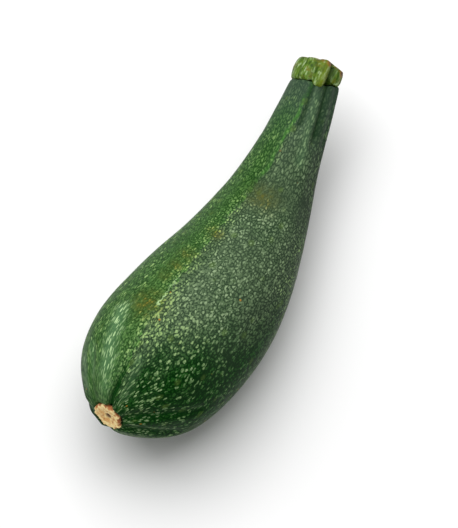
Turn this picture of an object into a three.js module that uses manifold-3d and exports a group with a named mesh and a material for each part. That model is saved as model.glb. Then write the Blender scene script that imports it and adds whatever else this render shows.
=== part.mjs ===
// A courgette, as picked: a club-shaped fruit with soft ribs and a corky blossom scar,
// and the short cut stub of its stem. Millimetres, +Z up. The fruit lies on its belly,
// blossom end towards -Y and stem towards +Y, with the origin at the middle of its
// footprint on the surface that it rests on.
//
// Each piece is turned about Y, given its ribs, and then bent along the fruit's axis.

import * as THREE from 'three';
import { mergeVertices } from 'three/addons/utils/BufferGeometryUtils.js';
import Module from 'manifold-3d';

const wasm = await Module();
wasm.setup();

// ---- driving dimensions ---------------------------------------------------------------

const fruitLength = 156.9; // along its bent axis, blossom scar to the foot of the stem
const stemLength = 8.9; // cut stub
const jointGap = 0.3; // between fruit and stem
const restDepth = 0.6; // how far the belly is flattened where it rests

// Radius of the fruit at distances from the blossom end: [distance, radius]
const fruitProfile = [
  [0.0, 6.1],
  [2.2, 10.5],
  [6.3, 14.7],
  [12.6, 20.5],
  [21.6, 25.6],
  [36.0, 28.4],
  [54.0, 27.8],
  [75.6, 24.7],
  [99.0, 18.9],
  [124.2, 13.2],
  [144.0, 10.8],
  [154.4, 9.6],
  [fruitLength, 8.6],
];
const scarRadius = 5.6; // corky disc at the blossom end
const scarDepth = 0.8; // how far it sits inside its rim

// Radius of the stem at heights above its foot, between the foot and the cut
const stemProfile = [
  [0.0, 8.0],
  [0.8, 8.9],
  [2.4, 9.5],
  [5.0, 9.6],
  [7.4, 9.2],
  [8.5, 8.8],
  [stemLength, 8.2],
];
const cutDepth = 0.6; // the cut face dries a little hollow
const slantFrom = 2.6; // the knife left a slanted cut on the +X side, from here outwards
const slantAngle = THREE.MathUtils.degToRad(29); // how steeply it falls away
const jointTilt = THREE.MathUtils.degToRad(12); // the joint's top leans to the blossom end
const jointSwing = THREE.MathUtils.degToRad(8); // and its +X side leans to the stem end
const leanFrom = 118; // where along the fruit the lean begins

// Bent axis from the blossom end, in plan and in height: [x, y, z]
const axisPoints = [
  [-0.5, 0.0, 0.0],
  [3.7, 30.1, -8.5],
  [7.2, 60.5, -13.4],
  [7.2, 91.5, -14.5],
  [4.1, 122.7, -12.1],
  [-0.3, 154.1, -6.1],
  [-2.3, 165.7, -3.4],
];

const fruitRibs = 10;
const stemRibs = 5;
const ribTurn = THREE.MathUtils.degToRad(10); // a rib's place, from the top towards +X
const stemTurn = THREE.MathUtils.degToRad(12); // the same for the stem's highest rib
const ribAtEnds = 0.035; // rib height at the ends, as a share of the radius
const ribAtBelly = 0.010; // and at the belly
const stemValley = 0.15; // depth of the stem's valleys, as a share of its radius

const sidesAround = 60;
const stepsAlong = 36;
const stemStepsAlong = 10;

// ---- shaping ---------------------------------------------------------------------------

const axis = new THREE.CatmullRomCurve3(axisPoints.map((p) => new THREE.Vector3(...p)));
const axisLength = axis.getLength();

/** Smooth outline through [distance, radius] points, closed on the axis at both ends. */
function outline(points, steps, firstDip, firstRadius, lastDip, lastRadius) {
  const curve = new THREE.SplineCurve(points.map(([along, radius]) => new THREE.Vector2(radius, along)));
  const wall = curve.getSpacedPoints(steps);
  const first = points[0][0];
  const last = points[points.length - 1][0];
  return [
    new THREE.Vector2(0, first + firstDip),
    new THREE.Vector2(firstRadius, first + firstDip),
    ...wall,
    new THREE.Vector2(lastRadius, last - lastDip),
    new THREE.Vector2(0, last - lastDip),
  ].filter((point, i, all) => i === 0 || point.distanceTo(all[i - 1]) > 1e-6);
}

/** How much of the ribs shows at a distance: strong near the ends, faint on the belly. */
function ribHeight(along) {
  const fromMiddle = Math.abs(along - 0.42 * fruitLength) / (0.58 * fruitLength);
  return THREE.MathUtils.lerp(ribAtBelly, ribAtEnds, Math.min(1, fromMiddle) ** 2);
}

/** Radius factor of the fruit's soft round ribs. */
function fruitRib(angle, along) {
  return 1 - ribHeight(along) * (0.5 - 0.5 * Math.cos(fruitRibs * (angle - ribTurn)));
}

/** Radius factor of the stem's five rounded ribs, with sharp valleys between them. */
function stemRib(angle) {
  return 1 - stemValley * (1 - Math.abs(Math.cos((stemRibs / 2) * (angle - stemTurn))));
}

/** Gives a turned shape, whose axis is Y, its ribs. */
function ribbed(geometry, rib) {
  const position = geometry.getAttribute('position');
  for (let i = 0; i < position.count; i += 1) {
    const factor = rib(Math.atan2(position.getX(i), position.getZ(i)), position.getY(i));
    position.setX(i, position.getX(i) * factor);
    position.setZ(i, position.getZ(i) * factor);
  }
  return geometry;
}

/** Leans the joint of fruit and stem, for a straight shape from a distance along the axis. */
function leaned(geometry, start) {
  const position = geometry.getAttribute('position');
  for (let i = 0; i < position.count; i += 1) {
    const along = start + position.getY(i);
    const share = THREE.MathUtils.smoothstep(along, leanFrom, fruitLength);
    const back = Math.tan(jointTilt) * position.getZ(i);
    const forward = Math.tan(jointSwing) * position.getX(i);
    position.setY(i, position.getY(i) + share * (forward - back));
  }
  return geometry;
}

/** Bends a straight shape along the fruit's axis, from a distance along it. */
function bentAlongAxis(geometry, start) {
  const position = geometry.getAttribute('position');
  const up = new THREE.Vector3(0, 0, 1);
  for (let i = 0; i < position.count; i += 1) {
    const share = THREE.MathUtils.clamp((start + position.getY(i)) / axisLength, 0, 1);
    const tangent = axis.getTangentAt(share);
    const side = new THREE.Vector3().crossVectors(tangent, up).normalize();
    const top = new THREE.Vector3().crossVectors(side, tangent);
    const point = axis
      .getPointAt(share)
      .addScaledVector(side, position.getX(i))
      .addScaledVector(top, position.getZ(i));
    position.setXYZ(i, point.x, point.y, point.z);
  }
  geometry.computeVertexNormals();
  return geometry;
}

/** Closed turned shape with its shared points merged. */
function turned(points) {
  const geometry = new THREE.LatheGeometry(points, sidesAround);
  geometry.deleteAttribute('normal');
  geometry.deleteAttribute('uv');
  return mergeVertices(geometry, 1e-3);
}

function toSolid(geometry) {
  const merged = mergeVertices(geometry, 1e-4);
  const mesh = new wasm.Mesh({
    numProp: 3,
    vertProperties: new Float32Array(merged.getAttribute('position').array),
    triVerts: new Uint32Array(merged.index.array),
  });
  return new wasm.Manifold(mesh);
}

function toGeometry(solid) {
  const mesh = solid.getMesh();
  const geometry = new THREE.BufferGeometry();
  geometry.setAttribute('position', new THREE.BufferAttribute(mesh.vertProperties, 3));
  geometry.setIndex(new THREE.BufferAttribute(mesh.triVerts, 1));
  geometry.computeVertexNormals();
  return geometry;
}

/** A big block that fills all that lies below z = 0. */
function cuttingBlock() {
  const size = 4 * fruitLength;
  const block = new THREE.BoxGeometry(size, size, size);
  block.translate(0, 0, -size / 2);
  block.deleteAttribute('normal');
  block.deleteAttribute('uv');
  return block;
}

function cut(geometry, block) {
  return toGeometry(toSolid(geometry).subtract(toSolid(block)));
}

// ---- pieces ------------------------------------------------------------------------------

function fruitGeometry() {
  const points = outline(fruitProfile, stepsAlong, scarDepth, scarRadius, 0, scarRadius);
  return bentAlongAxis(leaned(ribbed(turned(points), fruitRib), 0), 0);
}

function stemGeometry() {
  const points = outline(stemProfile, stemStepsAlong, 0, scarRadius, cutDepth, scarRadius);
  const knife = cuttingBlock();
  knife.rotateX(Math.PI / 2);
  knife.rotateZ(-slantAngle);
  knife.translate(slantFrom, stemLength, 0);
  const start = fruitLength + jointGap;
  return bentAlongAxis(leaned(cut(ribbed(turned(points), stemRib), knife), start), start);
}

/** Moves both pieces so that the belly rests on z = 0 and the footprint is centred. */
function settle(fruit, stem) {
  fruit.computeBoundingBox();
  stem.computeBoundingBox();
  const whole = fruit.boundingBox.clone().union(stem.boundingBox);
  const middle = whole.getCenter(new THREE.Vector3());
  const drop = fruit.boundingBox.min.z + restDepth;
  fruit.translate(-middle.x, -middle.y, -drop);
  stem.translate(-middle.x, -middle.y, -drop);
}

function named(name, geometry, material) {
  const mesh = new THREE.Mesh(geometry, material);
  mesh.name = name;
  return mesh;
}

const skin = new THREE.MeshStandardMaterial({ color: 0x2f5a2b, roughness: 0.45, metalness: 0 });
const greenStem = new THREE.MeshStandardMaterial({ color: 0x86a23c, roughness: 0.6, metalness: 0 });

const fruit = fruitGeometry();
const stem = stemGeometry();
settle(fruit, stem);

const group = new THREE.Group();
// The belly is cut flat where it rests.
group.add(named('fruit', cut(fruit, cuttingBlock()), skin));
group.add(named('stem', stem, greenStem));

export default group;
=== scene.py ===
"""A courgette, as picked: a speckled green fruit, its corky blossom scar and its cut stem.

Each piece is modelled straight along +Y, with the blossom end at the origin, by adding
rings, extruding and scaling them. It is then smoothed, marked and pressed into shape,
bent along the fruit's axis and set down where the frame's own fruit lies.
"""

import logging
import math
from dataclasses import dataclass
from enum import Enum
from typing import Callable

import bpy
import numpy as np
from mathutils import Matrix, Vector


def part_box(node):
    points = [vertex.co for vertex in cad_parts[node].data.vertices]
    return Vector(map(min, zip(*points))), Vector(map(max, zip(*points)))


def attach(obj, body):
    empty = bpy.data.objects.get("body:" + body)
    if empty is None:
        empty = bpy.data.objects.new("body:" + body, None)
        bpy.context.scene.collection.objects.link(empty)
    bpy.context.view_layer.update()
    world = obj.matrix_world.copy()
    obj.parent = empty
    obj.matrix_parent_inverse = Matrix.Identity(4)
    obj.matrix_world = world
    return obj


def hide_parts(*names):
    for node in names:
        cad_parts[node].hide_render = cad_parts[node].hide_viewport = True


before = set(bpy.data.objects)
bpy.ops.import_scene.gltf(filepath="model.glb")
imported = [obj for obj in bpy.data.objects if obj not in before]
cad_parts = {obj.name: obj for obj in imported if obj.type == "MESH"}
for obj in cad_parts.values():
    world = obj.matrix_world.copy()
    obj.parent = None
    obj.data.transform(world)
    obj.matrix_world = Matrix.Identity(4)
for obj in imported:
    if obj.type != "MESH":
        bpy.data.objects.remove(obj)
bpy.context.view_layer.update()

log = logging.getLogger("courgette")

MM = 0.001  # sizes are written in millimetres, and Blender works in metres
ON_AXIS = 1e-3  # a vertex nearer to the axis than this, in millimetres, has no turn
MAP_EDGE = 0.01  # the empty border of the UV map
ORDER_FROM = (0.31, -0.52, 0.73)  # metres; off every axis, so that no two vertices are as far
BODY = "root"

Piece = bpy.types.Object
Socket = bpy.types.NodeSocket
Ring = tuple[float, float]  # distance along the axis and radius
Spot = tuple[float, float]  # distance along the axis and turn round it, in degrees


# ---- places on the skin ----


def read(items: object, name: str, width: int = 1, kind: type = np.int32) -> np.ndarray:
    """Reads one value of every vertex, edge, corner or face.

    Args:
        items: The mesh's vertices, edges, loops or polygons.
        name: Which value to read.
        width: How many numbers it holds.
        kind: The numbers' type.

    Returns:
        The values, with a row for each item where they hold several numbers.
    """
    flat = np.empty(len(items) * width, kind)
    items.foreach_get(name, flat)
    return flat.reshape(-1, width) if width > 1 else flat


def positions(piece: Piece) -> np.ndarray:
    """Returns where a piece's vertices are, in metres."""
    return read(piece.data.vertices, "co", 3, np.float32)


def bell(distance: np.ndarray, width: float) -> np.ndarray:
    """Returns a smooth bump that is 1 at no distance and fades out over a width."""
    return np.exp(-((distance / width) ** 2))


def fade(value: np.ndarray, start: float, end: float) -> np.ndarray:
    """Returns a smooth step that is 0 at start and 1 at end."""
    share = np.clip((value - start) / (end - start), 0, 1)
    return share * share * (3 - 2 * share)


@dataclass(frozen=True)
class Places:
    """Where each vertex of a straight piece lies: along it, round it and out from its axis.

    A turn of 0 is the top, and turns grow towards +X.
    """

    along: np.ndarray
    turn: np.ndarray
    radius: np.ndarray

    @classmethod
    def of(cls, piece: Piece) -> "Places":
        """Reads the places, in millimetres and degrees, from a piece still straight along +Y."""
        x, y, z = positions(piece).T / MM
        return cls(y, np.degrees(np.arctan2(x, z)), np.hypot(x, z))

    def turned_from(self, turn: float | np.ndarray) -> np.ndarray:
        """Returns the angle from a turn, in degrees between -180 and 180."""
        return (self.turn - turn + 180) % 360 - 180

    def distance_to(self, line: tuple[Spot, ...]) -> np.ndarray:
        """Measures over the skin to the nearest point of a line drawn on it.

        Args:
            line: The line's corners. One corner makes it a spot.

        Returns:
            The distances, in millimetres.
        """
        nearest = np.full(len(self.along), np.inf)
        for (along, turn), (next_along, next_turn) in zip(line, line[1:] or line):
            down = self.along - along
            over = np.radians(self.turned_from(turn)) * self.radius
            step_down = next_along - along
            step_over = math.radians(next_turn - turn) * self.radius
            square = step_down**2 + step_over**2
            share = (down * step_down + over * step_over) / np.maximum(square, 1e-9)
            share = np.clip(share, 0, 1)
            gap = np.hypot(down - share * step_down, over - share * step_over)
            nearest = np.minimum(nearest, gap)
        return nearest


@dataclass(frozen=True)
class Stroke:
    """A soft line or spot drawn on the skin."""

    line: tuple[Spot, ...]
    width: float  # half width, in millimetres
    strength: float  # how strong it is, or how deep in millimetres

    def at(self, places: Places) -> np.ndarray:
        """Returns how strong the stroke is at each place."""
        return self.strength * bell(places.distance_to(self.line), self.width)


@dataclass(frozen=True)
class Flute:
    """A ridge or a hollow that runs along a piece."""

    turn: float
    height: float  # millimetres
    width: float  # half width, in degrees

    def at(self, places: Places) -> np.ndarray:
        """Returns how high the flute is at each place."""
        return self.height * bell(places.turned_from(self.turn), self.width)

    def broad(self, places: Places) -> np.ndarray:
        """Returns how high the flute is at each place, where it has a flat top."""
        off = np.abs(places.turned_from(self.turn))
        return self.height * fade(off, 1.3 * self.width, 0.5 * self.width)


@dataclass(frozen=True)
class Wave:
    """A wave that runs round a piece."""

    count: int
    turn: float  # where one crest is
    height: float  # millimetres

    def at(self, places: Places) -> np.ndarray:
        """Returns how high the wave is at each place."""
        return self.height * np.cos(np.radians(self.count * places.turned_from(self.turn)))


Shape = Stroke | Flute | Wave


def total(shapes: tuple[Shape, ...], places: Places) -> np.ndarray:
    """Returns all the shapes added up at each place."""
    return sum(shape.at(places) for shape in shapes)


def strongest(shapes: tuple[Shape, ...], places: Places) -> np.ndarray:
    """Returns the strongest of the shapes at each place."""
    return np.maximum.reduce([shape.at(places) for shape in shapes])


# ---- modelling ----


class Way(Enum):
    """Which way a push moves a vertex."""

    OUT = "NORMAL"
    ACROSS = "X"
    ALONG = "Y"
    UP = "Z"


def clear() -> None:
    """Deselects every object."""
    bpy.ops.object.select_all(action="DESELECT")


def hold(piece: Piece) -> None:
    """Makes one piece the only one selected, and the active one."""
    clear()
    piece.select_set(True)
    bpy.context.view_layer.objects.active = piece


def loft(name: str, rings: tuple[Ring, ...], sides: int) -> Piece:
    """Extrudes a circle ring by ring along +Y, and closes both ends.

    Args:
        name: The piece's name.
        rings: Distance and radius of each ring, in millimetres.
        sides: How many sides the circle has.

    Returns:
        The new piece.
    """
    clear()
    along, radius = rings[0]
    bpy.ops.mesh.primitive_circle_add(
        vertices=sides,
        radius=radius * MM,
        fill_type="NOTHING",
        location=(0, along * MM, 0),
        rotation=(math.pi / 2, 0, 0),
    )
    piece = bpy.context.object
    piece.name = name
    bpy.ops.object.transform_apply(location=True, rotation=True, scale=True)
    bpy.ops.object.mode_set(mode="EDIT")
    bpy.ops.mesh.select_all(action="SELECT")
    bpy.ops.mesh.extrude_region_move()
    bpy.ops.mesh.merge(type="CENTER")
    bpy.ops.mesh.select_all(action="DESELECT")
    bpy.ops.object.mode_set(mode="OBJECT")
    inner = radius * MM / 2
    select_where(piece, lambda place: np.hypot(place[:, 0], place[:, 2]) > inner)
    bpy.ops.object.mode_set(mode="EDIT")
    for next_along, next_radius in rings[1:]:
        step = (0, (next_along - along) * MM, 0)
        bpy.ops.mesh.extrude_region_move(TRANSFORM_OT_translate={"value": step})
        grow = next_radius / radius
        bpy.ops.transform.resize(value=(grow, 1, grow), center_override=(0, next_along * MM, 0))
        along, radius = next_along, next_radius
    bpy.ops.mesh.extrude_region_move()
    bpy.ops.mesh.merge(type="CENTER")
    bpy.ops.mesh.select_all(action="SELECT")
    bpy.ops.mesh.normals_make_consistent(inside=False)
    # Extruding can number the vertices another way in the next run, so they are put in order.
    bpy.context.scene.cursor.location = ORDER_FROM
    bpy.ops.mesh.sort_elements(type="CURSOR_DISTANCE", elements={"VERT", "EDGE", "FACE"})
    bpy.context.scene.cursor.location = (0, 0, 0)
    bpy.ops.object.mode_set(mode="OBJECT")
    return piece


def select_where(piece: Piece, test: Callable[[np.ndarray], np.ndarray]) -> None:
    """Selects the vertices whose place passes a test, in vertex mode.

    Args:
        piece: The active piece, in object mode.
        test: Takes an array of places and returns which of them to select.
    """
    bpy.context.tool_settings.mesh_select_mode = (True, False, False)
    mesh = piece.data
    chosen = test(positions(piece))
    ends = read(mesh.edges, "vertices", 2)
    mesh.polygons.foreach_set("select", np.zeros(len(mesh.polygons), bool))
    mesh.edges.foreach_set("select", chosen[ends].all(axis=1))
    mesh.vertices.foreach_set("select", chosen)


def apply(piece: Piece, kind: str, **settings: object) -> None:
    """Gives a piece a modifier and applies it.

    Args:
        piece: The piece to change.
        kind: The modifier's kind, such as SUBSURF.
        **settings: The modifier's settings.
    """
    hold(piece)
    modifier = piece.modifiers.new(kind.lower(), kind)
    for name, value in settings.items():
        setattr(modifier, name, value)
    bpy.ops.object.modifier_apply(modifier=modifier.name)


def smooth(piece: Piece, levels: int) -> None:
    """Subdivides a piece into a smooth surface."""
    apply(piece, "SUBSURF", levels=levels, render_levels=levels)
    bpy.ops.object.shade_smooth()


def push(piece: Piece, amount: np.ndarray, way: Way = Way.OUT) -> None:
    """Moves each vertex by its own amount.

    Args:
        piece: The piece to move.
        amount: How far each vertex moves, in millimetres; below 0 it moves back.
        way: Which way they move.
    """
    most = float(np.abs(amount).max())
    for sign in (1, -1):
        share = np.clip(sign * amount / max(most, 1e-9), 0, 1)
        touched = np.nonzero(share > 0.001)[0]
        if not len(touched):
            continue
        group = piece.vertex_groups.new(name="push")
        for index in touched:
            group.add([int(index)], float(share[index]), "REPLACE")
        settings = {"direction": way.value, "vertex_group": group.name, "mid_level": 0}
        apply(piece, "DISPLACE", strength=sign * most * MM, **settings)
        piece.vertex_groups.clear()


def roughen(piece: Piece, size: float, height: float, depth: int = 2) -> None:
    """Gives a piece slow, uneven swells.

    Args:
        piece: The piece to roughen.
        size: How wide a swell is, in millimetres.
        height: How high the swells are from top to bottom, in millimetres.
        depth: How much finer detail they carry.
    """
    texture = bpy.data.textures.new("swells", "CLOUDS")
    texture.noise_scale = size * MM
    texture.noise_depth = depth
    settings = {"texture": texture, "texture_coords": "LOCAL"}
    apply(piece, "DISPLACE", strength=height * MM, **settings)
    bpy.data.textures.remove(texture)


def keep(piece: Piece, domain: str = "POINT", **values: np.ndarray) -> None:
    """Keeps values on a piece, for its finish to read by name.

    Args:
        piece: The piece to keep them on.
        domain: POINT for a value at each vertex, CORNER for one at each face corner.
        **values: An amount for each of those, or a row of three numbers.
    """
    for name, value in values.items():
        kind, slot = ("FLOAT", "value") if value.ndim == 1 else ("FLOAT_VECTOR", "vector")
        layer = piece.data.attributes.new(name, kind, domain)
        layer.data.foreach_set(slot, np.ascontiguousarray(value, np.float32).ravel())


def keep_straight(piece: Piece) -> None:
    """Keeps the straight shape, in millimetres, so that patterns follow the skin."""
    keep(piece, straight=positions(piece) / MM)


def lean(piece: Piece, start: float, end: float, back: float, side: float) -> None:
    """Leans a straight piece's rings, more and more from a start to an end.

    Args:
        piece: The piece to lean.
        start: Distance along the axis where it begins, in millimetres.
        end: Distance from which it leans by the whole angle.
        back: How far its top leans back towards -Y, in degrees.
        side: How far its +X side leans forward towards +Y, in degrees.
    """
    places = Places.of(piece)
    turn = np.radians(places.turn)
    slope = math.tan(math.radians(side)) * np.sin(turn)
    slope -= math.tan(math.radians(back)) * np.cos(turn)
    push(piece, places.radius * slope * fade(places.along, start, end), Way.ALONG)


def bend(piece: Piece, axis: bpy.types.Object) -> None:
    """Bends a straight piece along a curve."""
    apply(piece, "CURVE", object=axis, deform_axis="POS_Y")


def move(piece: Piece, step: Vector) -> None:
    """Moves a piece and keeps its object at the origin."""
    hold(piece)
    bpy.ops.object.mode_set(mode="EDIT")
    bpy.ops.mesh.select_all(action="SELECT")
    bpy.ops.transform.translate(value=step)
    bpy.ops.object.mode_set(mode="OBJECT")


@dataclass(frozen=True)
class SkinMap:
    """A straight piece's skin, unrolled with its seam along the belly.

    Short of the fat end, where the skin closes in on the scar, the map is squeezed
    sideways, so that patterns narrow towards the scar.
    """

    outline: tuple[Ring, ...]
    fat_end: float  # distance along the axis where the squeezing begins

    def lay(self, piece: Piece) -> None:
        """Keeps two maps: "skin", in millimetres over the skin, and a UV map for baking.

        Args:
            piece: The piece to map, while it is straight.
        """
        places = Places.of(piece)
        knots = np.array(self.outline)
        corners = read(piece.data.loops, "vertex_index")
        turn = self.turns(piece, places, corners)
        length, whole = self.lengths(places, knots)
        length = length[corners]
        along = np.maximum(places.along, self.fat_end)
        width = np.interp(along, *knots[knots[:, 0].argsort()].T)
        across = np.radians(turn) * width[corners]
        skin = np.stack([across, length, np.zeros(len(turn))], 1)
        keep(piece, "CORNER", skin=skin)
        while piece.data.uv_layers:
            piece.data.uv_layers.remove(piece.data.uv_layers[0])
        flat = np.stack([(turn + 180) / 380, (1 - 2 * MAP_EDGE) * length / whole], 1) + MAP_EDGE
        unrolled = piece.data.uv_layers.new(name="OFBake")
        unrolled.data.foreach_set("uv", np.ascontiguousarray(flat, np.float32).ravel())

    @staticmethod
    def turns(piece: Piece, places: Places, corners: np.ndarray) -> np.ndarray:
        """Works out the turn of each face corner, with no jump inside a face.

        Args:
            piece: The piece to map.
            places: Its vertices' places.
            corners: Which vertex each corner is on.

        Returns:
            The turns, in degrees. A corner on the axis takes its face's middle.
        """
        starts = read(piece.data.polygons, "loop_start")
        face = np.repeat(np.arange(len(starts)), read(piece.data.polygons, "loop_total"))
        turn = np.where(places.radius[corners] < ON_AXIS, np.nan, places.turn[corners])
        high, low = np.fmax.reduceat(turn, starts), np.fmin.reduceat(turn, starts)
        on_seam = high - low > 180
        middle = np.where(on_seam, 180.0, (high + low) / 2)[face]
        turn = np.where(np.isnan(turn), middle, turn)
        return np.where(on_seam[face] & (turn < 0), turn + 360, turn)

    @staticmethod
    def lengths(places: Places, knots: np.ndarray) -> tuple[np.ndarray, float]:
        """Measures over the outline, from its first knot.

        Args:
            places: The vertices' places.
            knots: The outline's distances and radii.

        Returns:
            How far over the outline each vertex is, and the whole length.
        """
        lengths = np.concatenate([[0], np.cumsum(np.hypot(*np.diff(knots, axis=0).T))])
        best = np.full(len(places.along), np.inf)
        length = np.zeros(len(places.along))
        point = np.stack([places.along, places.radius], 1)
        for start, end, so_far in zip(knots[:-1], knots[1:], lengths):
            step = end - start
            share = np.clip((point - start) @ step / (step @ step), 0, 1)
            gap = np.hypot(*(point - start - share[:, None] * step).T)
            length = np.where(gap < best, so_far + share * np.hypot(*step), length)
            best = np.minimum(best, gap)
        return length, lengths[-1]


# ---- finishes ----


def colour(red: float, green: float, blue: float) -> tuple[float, float, float, float]:
    """Turns a screen colour into the linear one that shaders take.

    Args:
        red: The red channel, 0 to 255.
        green: The green channel.
        blue: The blue channel.

    Returns:
        The linear colour, with an alpha of 1.
    """

    def linear(value: float) -> float:
        """Returns one channel in linear light."""
        share = value / 255
        return share / 12.92 if share <= 0.04045 else ((share + 0.055) / 1.055) ** 2.4

    return linear(red), linear(green), linear(blue), 1.0


class Sheet:
    """A material's nodes, added and linked by short calls."""

    def __init__(self, name: str) -> None:
        """Starts a material with one principled shader."""
        self.material = bpy.data.materials.new(name)
        self.material.use_nodes = True
        self.tree = self.material.node_tree
        self.tree.nodes.clear()
        self.shader = self.add("BsdfPrincipled")
        self.add("OutputMaterial", {"Surface": self.shader.outputs["BSDF"]})

    def put(self, socket: Socket, value: object) -> None:
        """Links a socket to another, or sets its value."""
        if isinstance(value, Socket):
            self.tree.links.new(value, socket)
        else:
            socket.default_value = value

    def add(
        self, kind: str, inputs: dict[str | int, object] | None = None, **settings: object
    ) -> bpy.types.Node:
        """Adds a node.

        Args:
            kind: The node's kind, without ShaderNode.
            inputs: What its sockets are linked to or set to.
            **settings: Its settings.

        Returns:
            The node.
        """
        node = self.tree.nodes.new("ShaderNode" + kind)
        for name, value in settings.items():
            setattr(node, name, value)
        for name, value in (inputs or {}).items():
            self.put(node.inputs[name], value)
        return node

    def amount(self, name: str) -> Socket:
        """Returns an amount kept on the piece."""
        return self.add("Attribute", attribute_name=name).outputs["Fac"]

    def place(self, name: str) -> Socket:
        """Returns a place kept on the piece."""
        return self.add("Attribute", attribute_name=name).outputs["Vector"]

    def vector(self, operation: str, first: Socket, second: object) -> Socket:
        """Returns the result of one operation on two vectors, such as MULTIPLY."""
        return self.add("VectorMath", {0: first, 1: second}, operation=operation).outputs[0]

    def stretch(self, place: Socket, along: float) -> Socket:
        """Draws a pattern out along the fruit, where it is below 1."""
        return self.vector("MULTIPLY", place, (1, along, 1))

    def math(self, operation: str, *values: Socket | float) -> Socket:
        """Returns the result of one operation, such as MULTIPLY, on each value in turn."""
        result = values[0]
        for value in values[1:]:
            result = self.add("Math", {0: result, 1: value}, operation=operation).outputs[0]
        return result

    def times(self, *values: Socket | float) -> Socket:
        """Returns the values multiplied together."""
        return self.math("MULTIPLY", *values)

    def plus(self, *values: Socket | float) -> Socket:
        """Returns the values added up."""
        return self.math("ADD", *values)

    def most(self, *values: Socket | float) -> Socket:
        """Returns the greatest of the values."""
        return self.math("MAXIMUM", *values)

    def size(self, value: Socket) -> Socket:
        """Returns a value without its sign."""
        return self.add("Math", {0: value}, operation="ABSOLUTE").outputs[0]

    def step(
        self, value: Socket, start: float, end: float, low: float = 0.0, high: float = 1.0
    ) -> Socket:
        """Turns a value into a smooth step.

        Args:
            value: What to read.
            start: The value where the step begins.
            end: The value where it ends.
            low: What it gives at the start.
            high: What it gives at the end.

        Returns:
            The stepped amount.
        """
        inputs = {"Value": value, "From Min": start, "From Max": end, "To Min": low, "To Max": high}
        return self.add("MapRange", inputs, interpolation_type="SMOOTHSTEP").outputs["Result"]

    def noise(
        self, place: Socket, size: float, detail: float = 2, rough: float = 0.5, out: str = "Fac"
    ) -> Socket:
        """Returns noise between 0 and 1.

        Args:
            place: The place to fill.
            size: How wide its lumps are, in the place's units.
            detail: How much finer detail they carry.
            rough: How strong that detail is.
            out: Fac for one amount, Color for three.

        Returns:
            The noise.
        """
        inputs = {"Vector": place, "Scale": 1 / size, "Detail": detail, "Roughness": rough}
        return self.add("TexNoise", inputs).outputs[out]

    def warp(self, place: Socket, size: float, reach: float) -> Socket:
        """Shifts a place here and there by noise.

        Args:
            place: The place to shift.
            size: How wide the noise's lumps are, in the place's units.
            reach: How far it shifts at most.

        Returns:
            The shifted place.
        """
        noise = self.noise(place, size, 1, out="Color")
        centred = self.vector("SUBTRACT", noise, (0.5, 0.5, 0.5))
        return self.vector("ADD", place, self.vector("MULTIPLY", centred, (2 * reach,) * 3))

    def scatter(self, place: Socket, size: float, feature: str = "F1") -> bpy.types.Node:
        """Scatters points about a size apart over a flat map, and returns their node."""
        inputs = {"Vector": place, "Scale": 1 / size}
        return self.add("TexVoronoi", inputs, voronoi_dimensions="2D", feature=feature)

    def luck(self, points: bpy.types.Node) -> Socket:
        """Returns the nearest scattered point's own random amount, 0 to 1."""
        return self.add("SeparateColor", {0: points.outputs["Color"]}).outputs[0]

    def mix(self, share: Socket | float, base: object, over: object) -> Socket:
        """Lays one colour over another by a share."""
        inputs = {0: share, 6: base, 7: over}
        return self.add("Mix", inputs, data_type="RGBA").outputs[2]

    def layer(self, base: object, *layers: tuple[Socket, object]) -> Socket:
        """Lays colours over a base, one after another.

        Args:
            base: The colour below.
            *layers: How much each colour covers, and the colour.

        Returns:
            The colour on top.
        """
        for share, over in layers:
            base = self.mix(share, base, over)
        return base

    def coat(self, skin: object, roughness: object, shine: float = 0.5) -> None:
        """Gives the shader its colour, its roughness and the strength of its shine."""
        self.put(self.shader.inputs["Base Color"], skin)
        self.put(self.shader.inputs["Roughness"], roughness)
        self.shader.inputs["Specular IOR Level"].default_value = shine

    def bump(self, height: Socket, depth: float, strength: float) -> None:
        """Makes the shader's surface follow a height.

        Args:
            height: The height, 0 to 1.
            depth: How far 1 stands out, in millimetres.
            strength: How strongly it shows.
        """
        inputs = {"Height": height, "Distance": depth * MM, "Strength": strength}
        self.put(self.shader.inputs["Normal"], self.add("Bump", inputs).outputs["Normal"])


@dataclass(frozen=True)
class Grains:
    """Short pale marks scattered over the skin, in millimetres."""

    size: float  # usual gap
    along: float  # below 1, marks are drawn out along the fruit
    least: float  # reach of the smallest and largest mark, as shares of the gap
    most: float
    soft: float  # how soft their edges are
    wander: float  # how far they stray from their places
    faintest: float  # how strong the smallest mark is, 0 to 1

    def scatter(self, sheet: "SkinSheet") -> Socket:
        """Scatters the marks.

        Args:
            sheet: The skin's sheet.

        Returns:
            How much of a mark covers each place of the skin, 0 to 1.
        """
        strayed = sheet.warp(sheet.skin, 2.2 * self.size, self.wander)
        points = sheet.scatter(sheet.stretch(strayed, self.along), self.size)
        luck = sheet.luck(points)
        reach = sheet.step(luck, 0, 1, self.least, self.most)
        gap = sheet.math("SUBTRACT", points.outputs["Distance"], reach)
        cover = sheet.step(gap, -self.soft, self.soft, 1, 0)
        return sheet.times(cover, sheet.step(luck, 0, 1, self.faintest, 1))


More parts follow.
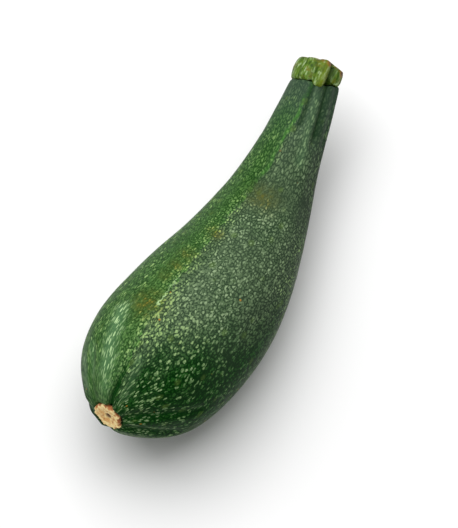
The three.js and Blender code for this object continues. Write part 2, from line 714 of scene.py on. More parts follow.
@dataclass(frozen=True)
class Pebbles:
    """Pale cells that cover the skin, with thin dark lines between them, in millimetres."""

    size: float  # usual width
    along: float  # below 1, cells are drawn out along the fruit
    line: float  # how wide the dark lines are, as a share of the width
    wander: float  # how far the lines stray
    faintest: float  # how strong the faintest cell is, 0 to 1

    def lay(self, sheet: "SkinSheet") -> Socket:
        """Lays the cells.

        Args:
            sheet: The skin's sheet.

        Returns:
            How pale each place of the skin is, 0 to 1.
        """
        strayed = sheet.stretch(sheet.warp(sheet.skin, self.size, self.wander), self.along)
        luck = sheet.luck(sheet.scatter(strayed, self.size))
        border = sheet.scatter(strayed, self.size, "DISTANCE_TO_EDGE").outputs["Distance"]
        inside = sheet.step(border, 0, self.line)
        return sheet.times(inside, sheet.step(luck, 0, 1, self.faintest, 1))


class SkinSheet(Sheet):
    """The skin's sheet, with the places, amounts and noises that several layers read.

    A line wanders down the fruit. The skin is fresh on one side of it, and a thin
    bright stripe, a pale scratch and a dark fold of painted shade lie along it.
    """

    line_calms: tuple = (85, 112, 1.0, 0.35)  # where the line wanders less, as for reach

    def __init__(self) -> None:
        """Reads what is kept on the skin."""
        super().__init__("courgette_skin")
        self.straight = self.place("straight")
        self.skin = self.place("skin")
        self.along = self.add("SeparateXYZ", {0: self.straight}).outputs["Y"]
        # painted sheen with waxy bloom: a grey veil right of the line and on the neck's left edge
        self.veil = self.amount("veil")
        # back: painted shade on the side turned from the lamp and round the back of the fruit
        self.back = self.amount("back")
        self.patches = self.noise(self.stretch(self.straight, 0.4), 8.0, 3)
        self.rows = self.flow(0.13, 1.1)
        self.gaps = self.flow(0.6, 1.8)
        uneven = self.step(self.patches, 0.3, 0.7, -0.2, 0.2)
        self.depth = self.most(self.plus(self.amount("deep"), uneven), 0.0)
        self.from_line = self.amount("beside")
        drift = self.step(self.flow(0.45, 3.0, 0.45), 0.2, 0.8, -1.3, 1.3)
        self.beside = self.plus(self.from_line, self.times(drift, self.reach(self.line_calms)))
        self.stripe = self.step(self.size(self.beside), 0.3, 1.1, 1, 0)
        self.fresh_side = self.amount("fresh")
        self.fresh = self.times(self.fresh_side, self.step(self.beside, -2.2, 1.6, 1, 0))

    def flow(self, along: float, size: float, rough: float = 0.5) -> Socket:
        """Returns noise over the skin, drawn out along the fruit."""
        return self.noise(self.stretch(self.skin, along), size, 2, rough)

    def reach(self, ramp: tuple[float, ...]) -> Socket:
        """Returns a step along the fruit: its start and end, and its amounts there."""
        return self.step(self.along, *ramp)


@dataclass(frozen=True)
class SkinFinish:
    """Dark green waxy skin under dense pale specks, with paler and ochre marks, painted sheen and
    painted shade.
    """

    deep: tuple = colour(2, 40, 4)
    deep_mid: tuple = colour(30, 78, 24)
    ground: tuple = colour(40, 60, 38)
    mid: tuple = colour(84, 106, 73)
    # painted shade: the darker green laid on the side turned from the lamp
    painted_shade: tuple = colour(22, 40, 20)
    # painted shade: the dark green of the creases
    crease_shade_green: tuple = colour(4, 54, 10)
    fresh: tuple = colour(30, 64, 22)
    fresh_mid: tuple = colour(72, 110, 54)
    # painted shade: a grey-blue cast that grows towards the stem foot
    stem_foot_shade: tuple = colour(58, 80, 66)
    bright: tuple = colour(66, 120, 46)
    speck: tuple = colour(146, 168, 128)
    speck_fresh: tuple = colour(146, 178, 106)
    # painted sheen: a pale haze on the lobes, a neck ridge and the left edge
    sheen_haze: tuple = colour(82, 120, 80)
    # pale dashes in the painted sheen, and the pale scratch
    frost: tuple = colour(172, 204, 146)
    olive: tuple = colour(84, 112, 50)
    # grey of the waxy bloom and the painted sheen
    bloom_and_sheen_grey: tuple = colour(96, 112, 94)
    ochre: tuple = colour(78, 82, 28)
    amber: tuple = colour(158, 144, 48)
    orange: tuple = colour(164, 118, 44)
    gloss: float = 0.46
    shine: float = 0.045
    relief: float = 0.1  # how far the pale marks stand out, in millimetres
    pebbles: Pebbles = Pebbles(1.1, 0.62, 0.36, 0.45, 0.5)
    beads: Pebbles = Pebbles(1.05, 0.38, 0.36, 0.4, 0.4)
    drops: Grains = Grains(1.15, 0.58, 0.0, 0.43, 0.11, 0.6, 0.34)
    bold: Grains = Grains(2.7, 0.72, -0.36, 0.27, 0.06, 0.9, 0.7)
    dashes: Grains = Grains(0.9, 0.28, 0.1, 0.38, 0.12, 0.15, 0.35)
    spots: Grains = Grains(6.5, 0.7, -0.08, 0.16, 0.07, 1.0, 0.4)
    dots: Grains = Grains(17.0, 1.0, -0.02, 0.025, 0.01, 1.0, 0.6)
    # Changes along the fruit: start and end in millimetres, and the amounts there where
    # they aren't 0 and 1.
    beads_start: tuple = (88, 120)
    drops_end: tuple = (38, 88, 1, 0)
    pale_fades: tuple = (146, 156, 1.0, 0.5)
    fresh_ends: tuple = (138, 154, 1.0, 0.1)
    stem_foot_shade_starts: tuple = (115, 152, 0, 0.4)
    strip_starts: tuple = (98, 132, 0, 0.6)
    strip_ends: tuple = (146, 155, 1.0, 0.4)
    specks_fade: tuple = (92, 126, 1.0, 0.4)
    dots_end: tuple = (90, 140, 1, 0)
    scratch_starts: tuple = (32.5, 34.5)
    scratch_fades: tuple = (37, 40, 1.0, 0.45)
    scratch_ends: tuple = (47, 52, 1, 0)
    fold_shade_ends: tuple = (5, 13, 1, 0)
    # where the creases' painted shade turns from crease green to the deep green
    crease_shade_deepens: tuple = (20, 60)

    def make(self) -> bpy.types.Material:
        """Returns the skin's material."""
        sheet = SkinSheet()
        pale = self.paleness(sheet)
        specks = sheet.times(sheet.step(pale, 0.52, 1.15), sheet.reach(self.specks_fade))
        skin = self.greens(sheet, pale, specks)
        skin = self.marks(sheet, skin, pale, specks)
        shine = sheet.noise(sheet.straight, 4.0, 3)
        rough = sheet.step(shine, 0.3, 0.7, self.gloss - 0.04, self.gloss + 0.08)
        sheet.coat(skin, rough, self.shine)
        sheet.bump(sheet.plus(pale, sheet.rows), self.relief, 0.5)
        return sheet.material

    def paleness(self, sheet: SkinSheet) -> Socket:
        """Lays cells and coiled threads in rows, and drops on the fat end.

        Args:
            sheet: The skin's sheet.

        Returns:
            How pale each place is: 0 for the ground, 1 for the palest specks.
        """
        long = sheet.times(sheet.fresh_side, sheet.step(sheet.beside, -12, -1, 0.9, 0))
        long = sheet.most(sheet.reach(self.beads_start), long)
        pebbles = sheet.times(self.pebbles.lay(sheet), sheet.step(long, 0, 1, 1, 0))
        beads = sheet.times(self.beads.lay(sheet), long)
        coils = sheet.flow(0.5, 1.7)
        threads = sheet.times(
            sheet.step(coils, 0.43, 0.5),
            sheet.step(coils, 0.57, 0.5),
            sheet.step(sheet.gaps, 0.45, 0.62, 0, 0.9),
            sheet.step(long, 0, 1, 1.0, 0.4),
        )
        grains = sheet.times(
            sheet.most(pebbles, beads, threads),
            sheet.step(sheet.depth, 0, 1, 1, 0.68),
            sheet.step(sheet.rows, 0.34, 0.58, 0.65, 1.05),
            sheet.step(sheet.patches, 0.35, 0.65, 0.92, 1.15),
        )
        bold = sheet.step(sheet.depth, 0, 0.7, 0.45, 0.9)
        bold = sheet.times(self.bold.scatter(sheet), bold)
        drops = sheet.times(
            sheet.most(self.drops.scatter(sheet), bold),
            sheet.reach(self.drops_end),
            sheet.step(sheet.fresh, 0, 1, 1.0, 0.6),
            1.02,
        )
        pale = sheet.times(
            sheet.most(grains, drops),
            # fewer pale marks under the painted shade
            sheet.step(sheet.back, 0, 1, 1, 0.92),
            sheet.reach(self.pale_fades),
        )
        return sheet.plus(
            pale,
            sheet.step(sheet.flow(0.6, 0.5), 0.2, 0.8, -0.2, 0.2),
            sheet.step(sheet.depth, 0, 1, 0, -0.12),
            # painted shade also dims the pale marks on the side turned from the lamp
            sheet.step(sheet.back, 0, 1, 0, -0.12),
        )

    def greens(self, sheet: SkinSheet, pale: Socket, specks: Socket) -> Socket:
        """Lays three greens for each sort of skin: deep at the fat end, fresh on one side, and
        painted shade on the side turned from the lamp and near the stem foot.

        Args:
            sheet: The skin's sheet.
            pale: How pale each place is.
            specks: Where the palest specks are.

        Returns:
            The skin's colour.
        """
        fresh = sheet.times(sheet.fresh, sheet.reach(self.fresh_ends))
        # painted shade, growing towards the stem foot
        shade = sheet.reach(self.stem_foot_shade_starts)
        spots = sheet.times(self.spots.scatter(sheet), 0.45)
        broken = sheet.times(sheet.stripe, sheet.step(sheet.gaps, 0.4, 0.6, 0.1, 0.7))
        strip = sheet.times(
            sheet.stripe,
            sheet.reach(self.strip_starts),
            sheet.reach(self.strip_ends),
            sheet.step(sheet.rows, 0.4, 0.6, 0.3, 1),
        )
        # specks are greyer under the painted sheen and in the deep green
        greyed = sheet.most(sheet.veil, sheet.times(sheet.depth, 0.7))
        ground = sheet.layer(
            self.ground,
            (fresh, self.fresh),
            # painted shade on the side turned from the lamp
            (sheet.times(sheet.back, 0.9), self.painted_shade),
            (sheet.depth, self.deep),
            (shade, self.stem_foot_shade),
        )
        middle = sheet.layer(
            self.mid,
            (fresh, self.fresh_mid),
            (sheet.depth, self.deep_mid),
            (shade, self.stem_foot_shade),
            (broken, self.bright),
            (spots, self.olive),
        )
        return sheet.layer(
            ground,
            (sheet.step(pale, 0.0, 0.55), middle),
            (sheet.times(spots, 0.7), self.olive),
            (strip, self.bright),
            (specks, sheet.mix(greyed, self.speck_fresh, self.speck)),
        )

    def marks(self, sheet: SkinSheet, skin: Socket, pale: Socket, specks: Socket) -> Socket:
        """Lays ochre stains, pale strips of painted sheen, a scratch, grey waxy bloom with painted
        sheen and the painted shade of the creases on the greens.

        Args:
            sheet: The skin's sheet.
            skin: The skin's greens.
            pale: How pale each place is.
            specks: Where the palest specks are.

        Returns:
            The skin's colour.
        """
        marred = sheet.times(
            sheet.amount("stain"),
            sheet.step(sheet.gaps, 0.38, 0.58, 0.4, 1),
            sheet.step(pale, 0.2, 0.7, 0.6, 1),
        )
        dots = sheet.times(self.dots.scatter(sheet), sheet.reach(self.dots_end))
        frost = sheet.amount("frost")
        # Painted shade in the fold along the line near the scar.
        fold_shade = sheet.step(sheet.size(sheet.from_line), 0.35, 1.1, 1, 0)
        fold_shade = sheet.times(fold_shade, sheet.reach(self.fold_shade_ends))
        crease = sheet.most(sheet.amount("crease"), fold_shade)
        crease_shade_green = sheet.mix(sheet.reach(self.crease_shade_deepens), self.crease_shade_green, self.deep)
        return sheet.layer(
            skin,
            (marred, sheet.mix(specks, self.ochre, self.amber)),
            (dots, self.orange),
            # painted sheen, strewn with pale dashes
            (sheet.times(frost, 0.75), self.sheen_haze),
            (sheet.times(frost, self.dashes.scatter(sheet)), self.frost),
            (sheet.times(self.scratch(sheet), 0.9), self.frost),
            # painted sheen with waxy bloom: a grey veil
            (sheet.times(sheet.veil, 0.10), self.bloom_and_sheen_grey),
            # painted shade in the creases and a painted shadow round the stem foot
            (sheet.times(crease, 0.85), crease_shade_green),
        )

    def scratch(self, sheet: SkinSheet) -> Socket:
        """Returns how much of the pale scratch along the line covers each place."""
        shake = sheet.step(sheet.flow(0.7, 1.4), 0.2, 0.8, -0.7, 0.7)
        off = sheet.size(sheet.plus(sheet.from_line, shake))
        runs = (self.scratch_starts, self.scratch_fades, self.scratch_ends)
        return sheet.times(sheet.step(off, 0.12, 0.34, 1, 0), *map(sheet.reach, runs))


@dataclass(frozen=True)
class CorkFinish:
    """Dry, pale corky tissue, mottled orange, with a brown middle and rim."""

    cream: tuple = colour(244, 222, 158)
    peach: tuple = colour(214, 166, 98)
    brown: tuple = colour(84, 44, 16)
    rust: tuple = colour(158, 80, 32)
    gloss: float = 0.8

    def make(self) -> bpy.types.Material:
        """Returns the scar's material."""
        sheet = Sheet("blossom_scar_cork")
        place = sheet.place("straight")
        out = sheet.amount("out")
        mottle = sheet.noise(place, 1.3, 4, 0.6)
        flecks = sheet.noise(place, 0.8, 3, 0.6)
        ring = sheet.times(sheet.step(out, 0.25, 0.42), sheet.step(out, 0.62, 0.48))
        edge = sheet.plus(out, sheet.step(mottle, 0.3, 0.7, -0.08, 0.08))
        skin = sheet.layer(
            self.cream,
            (sheet.step(mottle, 0.42, 0.64), self.peach),
            (sheet.times(ring, sheet.step(mottle, 0.35, 0.6)), self.peach),
            (sheet.times(ring, sheet.step(flecks, 0.5, 0.66, 0, 0.7)), self.rust),
            (sheet.step(out, 0.28, 0.12, 0, 0.9), self.brown),
            (sheet.step(edge, 0.84, 0.97, 0, 0.9), self.rust),
        )
        sheet.coat(skin, self.gloss)
        sheet.bump(sheet.noise(place, 0.5, 4, 0.65), 0.3, 0.7)
        return sheet.material


@dataclass(frozen=True)
class StemFinish:
    """Fresh yellow-green stem with pale streaks, painted shade in its hollows and a browned cut."""

    green: tuple = colour(88, 118, 32)
    pale: tuple = colour(158, 182, 130)
    ripe: tuple = colour(114, 126, 24)
    furrow: tuple = colour(40, 70, 8)
    # painted shade in the hollows
    dark: tuple = colour(38, 64, 12)
    olive: tuple = colour(110, 100, 24)
    rust: tuple = colour(128, 84, 20)
    brown: tuple = colour(62, 40, 16)
    pith: tuple = colour(160, 168, 104)
    gloss: float = 0.5
    shine: float = 0.15

    def make(self) -> bpy.types.Material:
        """Returns the stem's material."""
        sheet = Sheet("cut_stem_green")
        place = sheet.place("straight")
        streaks = sheet.noise(sheet.stretch(place, 0.3), 1.1, 3)
        blots = sheet.noise(place, 2.6, 3)
        freckles = sheet.noise(sheet.stretch(place, 0.6), 0.7)
        face = sheet.mix(sheet.step(sheet.noise(place, 1.4, 4), 0.4, 0.65), self.pith, self.olive)
        rust = sheet.times(sheet.amount("rust"), sheet.step(blots, 0.3, 0.55, 0.5, 1))
        skin = sheet.layer(
            self.furrow,
            (sheet.step(streaks, 0.34, 0.5, 0.1, 1), self.green),
            (sheet.step(streaks, 0.5, 0.68), self.pale),
            (sheet.step(freckles, 0.52, 0.68, 0, 0.7), self.furrow),
            (sheet.step(blots, 0.52, 0.72, 0, 0.6), self.olive),
            (sheet.times(sheet.amount("ripe"), 0.55), self.ripe),
            # painted shade in the hollows, by their depth
            (sheet.times(sheet.amount("hollow"), 0.76), self.dark),
            (sheet.times(sheet.amount("rim"), sheet.step(blots, 0.35, 0.7, 0, 0.6)), self.brown),
            (sheet.amount("cut"), face),
            (sheet.step(rust, 0.1, 0.6, 0, 0.85), self.rust),
            (sheet.step(rust, 0.7, 0.95, 0, 0.9), self.brown),
        )
        sheet.coat(skin, self.gloss, self.shine)
        sheet.bump(sheet.plus(streaks, sheet.times(sheet.noise(place, 0.6, 3), 0.4)), 0.25, 0.6)
        return sheet.material


# ---- the courgette ----


@dataclass(frozen=True)
class FruitAxis:
    """The fruit's bent axis, from the middle of the blossom end, in millimetres."""

    points: tuple = (
        (-0.5, 0.0, 0.0),
        (3.7, 30.1, -8.5),
        (7.2, 60.5, -13.4),
        (7.2, 91.5, -14.5),
        (4.1, 122.7, -12.1),
        (-0.3, 154.1, -6.1),
        (-2.3, 165.7, -3.4),
    )

    def build(self) -> bpy.types.Object:
        """Draws the axis.

        Returns:
            The axis as a smooth curve.
        """
        data = bpy.data.curves.new("fruit_axis", "CURVE")
        data.dimensions = "3D"
        data.resolution_u = 64
        data.twist_mode = "Z_UP"
        spline = data.splines.new("BEZIER")
        spline.bezier_points.add(len(self.points) - 1)
        for knot, point in zip(spline.bezier_points, self.points):
            knot.co = Vector(point) * MM
            knot.handle_left_type = "AUTO"
            knot.handle_right_type = "AUTO"
            knot.tilt = math.pi / 2
        axis = bpy.data.objects.new("fruit_axis", data)
        bpy.context.collection.objects.link(axis)
        return axis


@dataclass(frozen=True)
class Fruit:
    """The fruit's body, from the lip round the blossom scar to the foot of the stem."""

    sides: int = 40
    rings: tuple[Ring, ...] = (
        # The hollow under the scar and the lip round it.
        (1.4, 0.8), (1.3, 3.0), (1.1, 4.8), (0.1, 5.9), (0.5, 7.4), (1.3, 9.0), (2.3, 10.6),
        # The fat end.
        (3.8, 12.3), (6.0, 14.5), (9.0, 17.4), (13.0, 20.8), (18.0, 24.1), (24.0, 26.4),
        (31.0, 27.9), (39.0, 28.4), (48.0, 28.4), (58.0, 27.8), (69.0, 26.1), (81.0, 23.5),
        # The neck, and its face under the stem.
        (93.0, 20.5), (105.0, 17.5), (116.0, 14.9), (126.0, 13.0), (135.0, 11.8), (143.0, 11.0),
        (149.0, 10.2), (154.0, 9.7), (156.4, 9.3), (156.9, 8.6), (156.9, 5.0), (156.9, 0.8),
    )
    smoothing: int = 3
    fat_end: float = 18.0
    ribs: Wave = Wave(10, 10.0, 0.5)  # the height is a share of the next two
    rib_at_ends: float = 0.5  # millimetres
    rib_at_belly: float = 0.12
    belly: float = 65.0  # distance along the axis, and how far from it the ends are
    belly_reach: float = 90.0
    lip_shift: tuple = (0.6, -0.8)  # how far the lip lies off the axis, in millimetres
    swells: tuple = (26, 0.5)  # width and height, in millimetres
    valleys: tuple[Stroke, ...] = (
        Stroke(((0, 0), (8, -4), (15, -8)), 1.3, 0.4),
        Stroke(((0, 0), (8, -4)), 1.0, 0.5),
        Stroke(((0, 0), (4, -2)), 0.9, 0.6),
        Stroke(((1, -60), (12, -58)), 1.8, 0.9),
        Stroke(((1, 62), (8, 70), (21, 80)), 2.0, 1.1),
        Stroke(((1, 100), (14, 108)), 2.2, 1.2),
        Stroke(((1, 165), (12, 170)), 2.0, 0.8),
        Stroke(((1, -120), (14, -121)), 2.2, 0.8),
        Stroke(((156, 5), (146, 9), (134, 9)), 1.2, 1.0),
        Stroke(((158, 40), (147, 44), (132, 46)), 1.9, 1.6),
        Stroke(((156, -30), (130, -28)), 1.4, 0.4),
        Stroke(((156, 72), (134, 74)), 1.3, 0.5),
        Stroke(((156, 120), (132, 118)), 1.4, 0.5),
        Stroke(((156, -75), (132, -76)), 1.4, 0.5),
        Stroke(((156, -130), (132, -128)), 1.4, 0.5),
    )
    # The line down the fruit, where fresh green meets grey green.
    stripe: tuple[Spot, ...] = (
        (154, -1), (139, -4), (129, -8), (110, -12), (95, -16), (82, -18), (57, -15), (44, -14),
        (26, -10), (17, -9), (8, -4), (1, 0),
    )
    # Painted sheen and highlights: pale strips beside the creases, on a neck ridge and on the left
    # edge.
    frosts: tuple[Stroke, ...] = (
        Stroke(((27, -37), (21, -35), (13, -33), (8, -30)), 3.3, 1.0),
        Stroke(((8, -30), (3, -22)), 2.4, 0.6),
        Stroke(((13, 3), (8, 10), (3, 20)), 1.5, 0.3),
        Stroke(((14, -62), (6, -56)), 1.6, 0.5),
        Stroke(((15, -78), (10, -78), (4, -76)), 2.6, 0.3),
        Stroke(((151, 25), (140, 26), (122, 31)), 1.8, 0.38),
    )
    # Painted shade in the creases, and last a painted shadow round the foot of the stem.
    creases: tuple[Stroke, ...] = (
        Stroke(((1, 100), (7, 106), (12, 108)), 0.9, 0.7),
        Stroke(((0, 62), (6, 69), (15, 76)), 1.1, 0.5),
        Stroke(((155, 5), (146, 9), (138, 9)), 1.1, 0.7),
        Stroke(((157, 40), (147, 44), (136, 46)), 2.2, 0.85),
        Stroke(((157.5, -100), (157.5, 0), (157.5, 110)), 1.3, 0.42),
    )
    # How far up the fruit its deep green reaches, by turn.
    depth_turns: tuple = (-180, -110, -80, -55, -35, 0, 60, 80, 110, 180)
    depth_reach: tuple = (14, 2, -14, -18, -16, 14, 54, 32, -2, 6)
    stains: tuple[Stroke, ...] = (
        Stroke(((101, 4),), 5.2, 1.15),
        Stroke(((76, -14),), 2.6, 0.95),
        Stroke(((78, -21),), 2.6, 0.5),
        Stroke(((61, -23),), 3.4, 0.75),
        Stroke(((54, -23),), 3.4, 0.75),
        Stroke(((47, -24),), 3.0, 0.6),
        Stroke(((32, -20),), 6.0, 1.0),
        Stroke(((28, -34),), 4.0, 0.4),
    )

    def build(self) -> Piece:
        """Models the fruit, straight.

        Returns:
            The fruit, ready to bend.
        """
        piece = loft("fruit_skin", self.rings, self.sides)
        smooth(piece, self.smoothing)
        places = Places.of(piece)
        keep_straight(piece)
        SkinMap(self.rings, self.fat_end).lay(piece)
        self.paint(piece, places)
        push(piece, -self.rib_depth(places))
        push(piece, -total(self.valleys, places))
        lip = fade(places.radius, 10.5, 6.4) * fade(places.along, 8, 2)
        push(piece, self.lip_shift[0] * lip, Way.ACROSS)
        push(piece, self.lip_shift[1] * lip, Way.UP)
        roughen(piece, *self.swells)
        return piece

    def rib_depth(self, places: Places) -> np.ndarray:
        """Returns how deep the skin lies between the ribs at each place."""
        out = np.clip(np.abs(places.along - self.belly) / self.belly_reach, 0, 1)
        height = self.rib_at_belly + (self.rib_at_ends - self.rib_at_belly) * out**2
        return height * fade(places.radius, 5, 9) * (0.5 - self.ribs.at(places))

    def paint(self, piece: Piece, places: Places) -> None:
        """Keeps the amounts that the finish reads.

        Args:
            piece: The fruit.
            places: Where its vertices were while it was still smooth.
        """
        beside = places.turned_from(np.interp(places.along, *zip(*sorted(self.stripe))))
        deep = np.interp(places.turned_from(15), self.depth_turns, self.depth_reach)
        # Painted sheen with waxy bloom: grey right of the line on the fat end, and a painted rim of
        # light on the neck's left edge.
        veil = fade(beside, 2, 16) * fade(beside, 90, 60) * fade(places.along, 16, 48)
        neck_veil = 2.5 * fade(beside, -35, -62) * fade(places.along, 95, 135)
        # Painted shade: darker on the side turned from the lamp, less so mid-fruit, and round the
        # back.
        painted_shade = 1 - 0.45 * fade(places.along, 50, 85) * fade(places.along, 135, 95)
        painted_shade *= fade(beside, 30, 75) * fade(places.along, 2, 30)
        keep(
            piece,
            crease=strongest(self.creases, places),
            frost=strongest(self.frosts, places),
            stain=strongest(self.stains, places),
            beside=np.radians(beside) * places.radius,
            fresh=fade(beside, 30, 20) * fade(beside, -105, -60),
            deep=fade(places.along - deep, 32, -12),
            veil=np.maximum(veil, neck_veil),
            back=np.maximum(painted_shade, fade(beside, -95, -130)),
        )


@dataclass(frozen=True)
class BlossomScar:
    """The corky disc where the blossom fell off."""

    sides: int = 36
    rings: tuple[Ring, ...] = (
        (1.8, 0.3), (1.2, 0.9), (0.7, 1.8), (0.5, 3.0), (0.2, 4.2), (0.2, 4.8), (0.7, 5.3),
        (1.7, 5.3), (2.5, 4.6), (2.7, 0.6),
    )
    smoothing: int = 2
    reach: float = 5.4  # the radius that its finish takes as its edge
    teeth: tuple[Wave, ...] = (
        Wave(2, 90, 0.2),
        Wave(3, 20, 0.12),
        Wave(5, 40, 0.16),
        Wave(8, 12, 0.12),
        Wave(13, -5, 0.18),
        Wave(22, 4, 0.1),
    )
    swells: tuple = (1.2, 0.35, 3)  # width and height in millimetres, and detail
    shift: tuple = (0.75, 0.0, -1.1)  # how far it lies off the fruit's axis, in millimetres

    def build(self) -> Piece:
        """Models the scar, straight.

        Returns:
            The scar, ready to bend.
        """
        piece = loft("blossom_scar", self.rings, self.sides)
        smooth(piece, self.smoothing)
        places = Places.of(piece)
        keep_straight(piece)
        edge = total(self.teeth, places)
        out = places.radius - 0.9 * edge * fade(places.radius, 3, 5)
        keep(piece, out=out / self.reach)
        push(piece, edge * fade(places.radius, 4.2, 5.2) * fade(places.along, 2.5, 1.3))
        roughen(piece, *self.swells)
        move(piece, Vector(self.shift) * MM)
        return piece


@dataclass(frozen=True)
class Stem:
    """The cut stub of the stem, with uneven ribs."""

    foot: float = 157.2  # distance along the axis; heights are above it
    sides: int = 60
    rings: tuple[Ring, ...] = (
        (-1.0, 1.0), (-1.0, 6.0), (-0.9, 8.2), (-0.4, 9.1), (1.0, 9.5), (2.6, 9.7), (4.4, 9.8),
        (6.0, 9.6), (7.4, 9.3), (8.4, 8.8), (8.8, 8.0), (8.7, 6.0), (8.5, 3.0), (8.5, 0.8),
    )
    smoothing: int = 2
    hollows: tuple[Flute, ...] = (
        Flute(40, 2.5, 10),
        Flute(-4, 0.5, 7),
        Flute(-40, 0.25, 6),
        Flute(115, 1.8, 13),
        Flute(190, 1.8, 13),
        Flute(262, 1.4, 11),
    )
    # painted shade: from this depth on, a hollow is drawn darkest
    darkest_hollow: float = 1.6  # the depth from which a hollow is darkest
    # Where the ribs' feet run down the fruit.
    feet: tuple[Flute, ...] = (
        Flute(15, 1.5, 16),
        Flute(82, 0.4, 16),
        Flute(150, 0.9, 18),
        Flute(225, 0.9, 18),
    )
    crests: tuple[Flute, ...] = (Flute(18, 0.9, 14), Flute(76, 0.4, 14))
    tuck: Flute = Flute(88, 1.2, 42)  # the side that narrows towards the cut
    ripe_rib: Flute = Flute(24, 1.0, 14)
    # Browned spots on the cut's edge, by height above the foot.
    rusts: tuple[Stroke, ...] = (
        Stroke(((7.3, 25),), 1.5, 0.9),
        Stroke(((5.6, 61),), 1.1, 0.7),
        Stroke(((4.5, 71),), 1.4, 1.1),
        Stroke(((8.2, 8),), 1.2, 0.4),
    )
    height: float = 8.7
    slant_from: float = 2.2
    slant_angle: float = 29.0
    swells: tuple = (2.5, 0.5, 3)  # width and height in millimetres, and detail

    def build(self) -> Piece:
        """Models the stem, straight.

        Returns:
            The stem, ready to bend.
        """
        rings = tuple((self.foot + height, radius) for height, radius in self.rings)
        piece = loft("stem_stub", rings, self.sides)
        smooth(piece, self.smoothing)
        places = Places.of(piece)
        height = places.along - self.foot
        depth = total(self.hollows, places) * fade(places.radius, 4, 8)
        # painted shade: how dark each hollow is drawn
        keep(piece, hollow=np.clip(depth / self.darkest_hollow, 0, 1))
        rise = total(self.crests, places) * fade(places.radius, 6, 9) * fade(height, 8.6, 6.0)
        tuck = self.tuck.at(places) * fade(places.radius, 4, 8)
        tuck *= 0.6 + 0.4 * fade(height, 0.8, 5.5)
        push(piece, rise - depth - tuck)
        drop = sum(foot.broad(places) for foot in self.feet)
        low = fade(height, 2.5, -0.5) * fade(places.radius, 7.5, 9)
        push(piece, -drop * low, Way.ALONG)
        self.slice(piece)
        self.paint(piece)
        roughen(piece, *self.swells)
        return piece

    def paint(self, piece: Piece) -> None:
        """Keeps the shape and the amounts that the finish reads.

        Args:
            piece: The stem, cut and still straight.
        """
        keep_straight(piece)
        places = Places.of(piece)
        height = places.along - self.foot
        over = height - self.cut_height(places) + 0.3
        keep(
            piece,
            cut=fade(over, -0.5, 0.1) * fade(places.radius, 8.8, 7.6),
            rim=bell(over, 0.6) * fade(places.radius, 6.5, 8.0),
            rust=strongest(self.rusts, Places(height, places.turn, places.radius)),
            ripe=self.ripe_rib.at(places),
        )

    def cut_height(self, places: Places) -> np.ndarray:
        """Returns how high the knife's cut stands above the foot at each place."""
        across = places.radius * np.sin(np.radians(places.turn))
        fall = np.maximum(0, across - self.slant_from) * math.tan(math.radians(self.slant_angle))
        return self.height - fall

    def slice(self, piece: Piece) -> None:
        """Cuts the stem's +X side off at a slant and closes the cut.

        Args:
            piece: The stem, while it is straight.
        """
        hold(piece)
        slope = math.radians(self.slant_angle)
        bpy.ops.object.mode_set(mode="EDIT")
        bpy.ops.mesh.select_all(action="SELECT")
        bpy.ops.mesh.bisect(
            plane_co=(self.slant_from * MM, (self.foot + self.height) * MM, 0),
            plane_no=(math.sin(slope), math.cos(slope), 0),
            use_fill=True,
            clear_outer=True,
        )
        bpy.ops.mesh.quads_convert_to_tris()
        bpy.ops.object.mode_set(mode="OBJECT")


@dataclass(frozen=True)
class Courgette:
    """The whole courgette: it bends the pieces, sets them down and dresses them."""

    axis: FruitAxis = FruitAxis()
    fruit: Fruit = Fruit()
    scar: BlossomScar = BlossomScar()
    stem: Stem = Stem()
    lean_from: float = 118.0
    lean_back: float = 12.0
    lean_side: float = 8.0
    clear: float = 0.05  # how far the blossom end stays inside the frame's

    def build(self) -> list[Piece]:
        """Builds and dresses every piece.

        Returns:
            The pieces, in place.
        """
        axis = self.axis.build()
        pieces = [self.fruit.build(), self.scar.build(), self.stem.build()]
        for piece in pieces:
            lean(piece, self.lean_from, self.stem.foot, self.lean_back, self.lean_side)
            bend(piece, axis)
        bpy.data.objects.remove(axis)
        self.settle(pieces)
        self.flatten(pieces[0])
        finishes = (SkinFinish(), CorkFinish(), StemFinish())
        nodes = (("fruit", "skin"), ("fruit", "skin"), ("stem", "stem"))
        for piece, finish, (node, slot) in zip(pieces, finishes, nodes):
            self.dress(piece, finish.make(), node)
        return pieces

    def settle(self, pieces: list[Piece]) -> None:
        """Moves the pieces together so that they lie where the frame's own pieces do.

        Args:
            pieces: All the pieces.
        """
        low = np.min([positions(piece).min(0) for piece in pieces], axis=0)
        high = np.max([positions(piece).max(0) for piece in pieces], axis=0)
        frame_low, frame_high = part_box("fruit")
        across = (frame_low.x + frame_high.x) / 2 - (low[0] + high[0]) / 2
        along = frame_low.y + self.clear * MM - low[1]
        for piece in pieces:
            move(piece, Vector((across, along, frame_high.z - high[2])))

    def flatten(self, fruit: Piece) -> None:
        """Flattens the belly where it rests on the surface."""
        hold(fruit)
        select_where(fruit, lambda place: place[:, 2] < 0)
        bpy.ops.object.mode_set(mode="EDIT")
        bpy.ops.transform.resize(value=(1, 1, 0), center_override=(0, 0, 0))
        bpy.ops.object.mode_set(mode="OBJECT")

    def dress(self, piece: Piece, material: bpy.types.Material, node: str) -> None:
        """Gives a piece its finish and ties it to the frame.

        Args:
            piece: The piece to dress.
            material: Its finish.
            node: The frame's node that it stands for.
        """
        piece.data.materials.clear()
        piece.data.materials.append(material)
        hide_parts(node)
        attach(piece, BODY)


# ---- studio ----


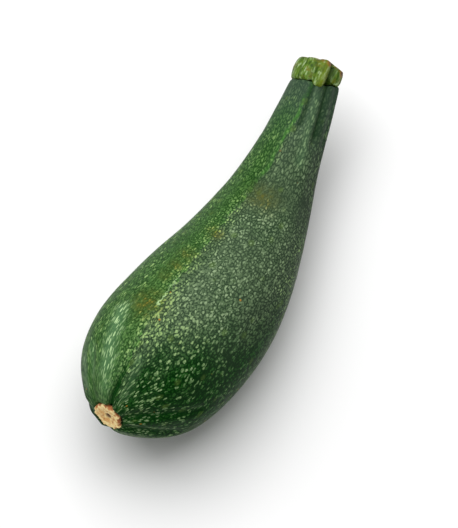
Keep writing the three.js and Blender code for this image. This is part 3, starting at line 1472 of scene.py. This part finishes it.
@dataclass(frozen=True)
class Studio:
    """A plain pale floor, one soft light from above and the camera."""

    floor_size: float = 40.0  # metres
    floor_tone: tuple = (0.86, 0.86, 0.86, 1.0)
    sky_strength: float = 0.35
    lamp_place: tuple = (-0.24, 0.12, 1.1)  # metres
    lamp_size: float = 1.25  # metres
    lamp_power: float = 16.5  # watts
    azimuth: float = 28.98  # degrees
    elevation: float = 65.0
    distance: float = 0.9  # metres
    lens: float = 169.9  # millimetres, on the long side of the picture
    sensor: float = 36.0
    target: tuple = (0.61, -5.76, 25.0)  # millimetres

    def build(self) -> None:
        """Builds the floor, the lights and the camera."""
        self.lay_floor()
        self.light_sky()
        self.hang_lamp()
        self.aim_camera()

    def lay_floor(self) -> None:
        """Lays a plain pale floor."""
        clear()
        bpy.ops.mesh.primitive_plane_add(size=self.floor_size)
        floor = bpy.context.object
        floor.name = "floor"
        sheet = Sheet("studio_floor")
        sheet.coat(self.floor_tone, 0.9, 0.1)
        floor.data.materials.append(sheet.material)

    def light_sky(self) -> None:
        """Lights an even white sky."""
        world = bpy.data.worlds.new("sky")
        world.use_nodes = True
        sky = world.node_tree.nodes["Background"]
        sky.inputs["Color"].default_value = (1, 1, 1, 1)
        sky.inputs["Strength"].default_value = self.sky_strength
        bpy.context.scene.world = world

    def hang_lamp(self) -> None:
        """Hangs a broad square light that faces the middle of the floor."""
        data = bpy.data.lights.new("key", "AREA")
        data.shape = "SQUARE"
        data.size = self.lamp_size
        data.energy = self.lamp_power
        place = Vector(self.lamp_place)
        self.hang(bpy.data.objects.new("key", data), place, place)

    def aim_camera(self) -> None:
        """Places the camera and makes it the scene's own."""
        turn, rise = math.radians(self.azimuth), math.radians(self.elevation)
        flat = math.cos(rise)
        back = Vector((math.sin(turn) * flat, -math.cos(turn) * flat, math.sin(rise)))
        data = bpy.data.cameras.new("camera")
        data.lens = self.lens
        data.sensor_width = self.sensor
        camera = bpy.data.objects.new("camera", data)
        self.hang(camera, Vector(self.target) * MM + back * self.distance, back)
        bpy.context.scene.camera = camera

    @staticmethod
    def hang(thing: bpy.types.Object, place: Vector, back: Vector) -> None:
        """Puts a lamp or a camera in its place, in metres, with its back to a direction."""
        thing.location = place
        thing.rotation_euler = (-back).to_track_quat("-Z", "Y").to_euler()
        bpy.context.collection.objects.link(thing)


def main() -> None:
    """Builds the courgette and its studio, and reports each piece."""
    logging.basicConfig(level=logging.INFO, format="%(name)s: %(message)s")
    bpy.context.scene.view_settings.view_transform = "Standard"
    for piece in Courgette().build():
        log.info("%s: %d faces", piece.name, len(piece.data.polygons))
    Studio().build()


if __name__ == "__main__":
    main()
